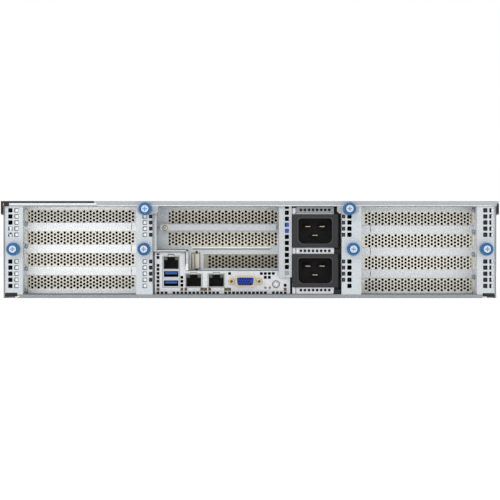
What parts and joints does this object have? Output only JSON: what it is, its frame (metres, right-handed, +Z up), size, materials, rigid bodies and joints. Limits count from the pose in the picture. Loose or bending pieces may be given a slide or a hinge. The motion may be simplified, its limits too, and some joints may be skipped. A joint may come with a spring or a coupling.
{
  "type": "rack server",
  "caption": "Flat rack-mount server with vented riser cages, network and video sockets, power inlets, fans, drive trays and a top cover that slides off.",
  "frame": {"origin": "centre of the underside, halfway between the rear panel and the front panel", "axes": "+X to the right as seen from the rear, +Y from the rear panel to the front panel, +Z up"},
  "size_m": [0.4826, 0.8443, 0.0875],
  "materials": {
    "galvanised_sheet": "zinc-coated sheet, satin",
    "cover_sheet": "zinc-coated sheet, satin",
    "nickel_sheet": "warm plated sheet, satin",
    "plated_shell": "bright plated",
    "screw_steel": "bright plated",
    "black_plastic": "matte moulded",
    "blue_grip": "satin moulded",
    "blue_insert": "satin moulded",
    "release_blue": "satin moulded",
    "circuit_board": "coated laminate",
    "aluminium_fins": "extruded",
    "button_white": "translucent moulded",
    "ear_paint": "fine texture paint",
    "grille_paint": "fine texture paint",
    "tray_plastic": "matte moulded",
    "lever_plastic": "matte moulded",
    "pin_metal": "plated"
  },
  "bodies": {
    "chassis": {"chassis_base": "galvanised_sheet", "rear_frame": "galvanised_sheet", "riser_cage_left": "galvanised_sheet", "riser_cage_right": "galvanised_sheet", "slot_covers_left": "nickel_sheet", "slot_covers_right": "nickel_sheet", "centre_riser_bracket": "galvanised_sheet", "slot_clamp_bar": "galvanised_sheet", "slot_covers_centre": "nickel_sheet", "slot_cover_screws": "screw_steel", "port_panel": "galvanised_sheet", "rj45_shells": "plated_shell", "rj45_inserts": "black_plastic", "usb_shells": "plated_shell", "usb_tongues": "blue_insert", "vga_shell": "plated_shell", "vga_insert": "blue_insert", "vga_jackscrews": "screw_steel", "inlet_bracket": "galvanised_sheet", "power_inlets": "black_plastic", "inlet_pins": "pin_metal", "power_supplies": "galvanised_sheet", "motherboard": "circuit_board", "cpu_heatsinks": "aluminium_fins", "memory_modules": "circuit_board", "riser_cards": "circuit_board", "fan_bulkhead": "galvanised_sheet", "fan_frames": "black_plastic", "front_top_panel": "cover_sheet", "drive_cage": "galvanised_sheet", "drive_backplane": "circuit_board", "front_grille": "grille_paint", "control_panel": "grille_paint", "rack_ears": "ear_paint", "front_handles": "ear_paint", "rail_studs": "screw_steel", "riser_release_tab": "release_blue"},
    "cover": {"top_cover": "cover_sheet", "cover_edge_strip": "black_plastic"},
    "locator_button": {"locator_button": "button_white"},
    "power_button": {"power_button": "button_white"},
    "cover_thumbscrew_left": {"cover_thumbscrew_left": "blue_grip"},
    "cover_thumbscrew_right": {"cover_thumbscrew_right": "blue_grip"},
    "riser_thumbscrew_left_outer": {"riser_thumbscrew_left_outer": "blue_grip"},
    "riser_thumbscrew_left_inner": {"riser_thumbscrew_left_inner": "blue_grip"},
    "riser_thumbscrew_right_inner": {"riser_thumbscrew_right_inner": "blue_grip"},
    "riser_thumbscrew_right_outer": {"riser_thumbscrew_right_outer": "blue_grip"},
    "fan_rotor_1": {"fan_rotor_1": "black_plastic"},
    "fan_rotor_2": {"fan_rotor_2": "black_plastic"},
    "fan_rotor_3": {"fan_rotor_3": "black_plastic"},
    "fan_rotor_4": {"fan_rotor_4": "black_plastic"},
    "fan_rotor_5": {"fan_rotor_5": "black_plastic"},
    "drive_tray_1": {"drive_tray_1": "tray_plastic"},
    "tray_lever_1": {"tray_lever_1": "lever_plastic"},
    "drive_tray_2": {"drive_tray_2": "tray_plastic"},
    "tray_lever_2": {"tray_lever_2": "lever_plastic"},
    "drive_tray_3": {"drive_tray_3": "tray_plastic"},
    "tray_lever_3": {"tray_lever_3": "lever_plastic"},
    "drive_tray_4": {"drive_tray_4": "tray_plastic"},
    "tray_lever_4": {"tray_lever_4": "lever_plastic"}
  },
  "joints": [
    {"name": "cover_slide", "type": "slide", "parent": "chassis", "child": "cover", "axis": [0, -1, 0], "range_m": [0, 0.015]},
    {"name": "cover_thumbscrew_left_turn", "type": "hinge", "parent": "cover", "child": "cover_thumbscrew_left", "pos_m": [-0.094, -0.4, 0.0804], "axis": [0, -1, 0], "continuous": true},
    {"name": "cover_thumbscrew_right_turn", "type": "hinge", "parent": "cover", "child": "cover_thumbscrew_right", "pos_m": [0.0894, -0.4, 0.0804], "axis": [0, -1, 0], "continuous": true},
    {"name": "riser_thumbscrew_left_outer_turn", "type": "hinge", "parent": "chassis", "child": "riser_thumbscrew_left_outer", "pos_m": [-0.2125, -0.4, 0.0442], "axis": [0, -1, 0], "continuous": true},
    {"name": "riser_thumbscrew_left_inner_turn", "type": "hinge", "parent": "chassis", "child": "riser_thumbscrew_left_inner", "pos_m": [-0.0951, -0.4, 0.0442], "axis": [0, -1, 0], "continuous": true},
    {"name": "riser_thumbscrew_right_inner_turn", "type": "hinge", "parent": "chassis", "child": "riser_thumbscrew_right_inner", "pos_m": [0.0929, -0.4, 0.0442], "axis": [0, -1, 0], "continuous": true},
    {"name": "riser_thumbscrew_right_outer_turn", "type": "hinge", "parent": "chassis", "child": "riser_thumbscrew_right_outer", "pos_m": [0.2125, -0.4, 0.0442], "axis": [0, -1, 0], "continuous": true},
    {"name": "locator_button_press", "type": "slide", "parent": "chassis", "child": "locator_button", "axis": [0, 1, 0], "range_m": [0, 0.0012], "stiffness_N_per_m": 600, "springref_m": -0.0005},
    {"name": "power_button_press", "type": "slide", "parent": "chassis", "child": "power_button", "axis": [0, -1, 0], "range_m": [0, 0.0012], "stiffness_N_per_m": 600, "springref_m": -0.0005},
    {"name": "fan_1_spin", "type": "hinge", "parent": "chassis", "child": "fan_rotor_1", "pos_m": [-0.168, 0.148, 0.0414], "axis": [0, 1, 0], "continuous": true},
    {"name": "fan_2_spin", "type": "hinge", "parent": "chassis", "child": "fan_rotor_2", "pos_m": [-0.084, 0.148, 0.0414], "axis": [0, 1, 0], "continuous": true},
    {"name": "fan_3_spin", "type": "hinge", "parent": "chassis", "child": "fan_rotor_3", "pos_m": [0, 0.148, 0.0414], "axis": [0, 1, 0], "continuous": true},
    {"name": "fan_4_spin", "type": "hinge", "parent": "chassis", "child": "fan_rotor_4", "pos_m": [0.084, 0.148, 0.0414], "axis": [0, 1, 0], "continuous": true},
    {"name": "fan_5_spin", "type": "hinge", "parent": "chassis", "child": "fan_rotor_5", "pos_m": [0.168, 0.148, 0.0414], "axis": [0, 1, 0], "continuous": true},
    {"name": "tray_1_slide", "type": "slide", "parent": "chassis", "child": "drive_tray_1", "axis": [0, 1, 0], "range_m": [0, 0.1]},
    {"name": "lever_1_swing", "type": "hinge", "parent": "drive_tray_1", "child": "tray_lever_1", "pos_m": [-0.029, 0.4027, 0.07055], "axis": [0, 0, 1], "range_deg": [0, 85]},
    {"name": "tray_2_slide", "type": "slide", "parent": "chassis", "child": "drive_tray_2", "axis": [0, 1, 0], "range_m": [0, 0.1]},
    {"name": "lever_2_swing", "type": "hinge", "parent": "drive_tray_2", "child": "tray_lever_2", "pos_m": [-0.029, 0.4027, 0.05055], "axis": [0, 0, 1], "range_deg": [0, 85]},
    {"name": "tray_3_slide", "type": "slide", "parent": "chassis", "child": "drive_tray_3", "axis": [0, 1, 0], "range_m": [0, 0.1]},
    {"name": "lever_3_swing", "type": "hinge", "parent": "drive_tray_3", "child": "tray_lever_3", "pos_m": [-0.029, 0.4027, 0.03055], "axis": [0, 0, 1], "range_deg": [0, 85]},
    {"name": "tray_4_slide", "type": "slide", "parent": "chassis", "child": "drive_tray_4", "axis": [0, 1, 0], "range_m": [0, 0.1]},
    {"name": "lever_4_swing", "type": "hinge", "parent": "drive_tray_4", "child": "tray_lever_4", "pos_m": [-0.029, 0.4027, 0.01055], "axis": [0, 0, 1], "range_deg": [0, 85]}
  ]
}
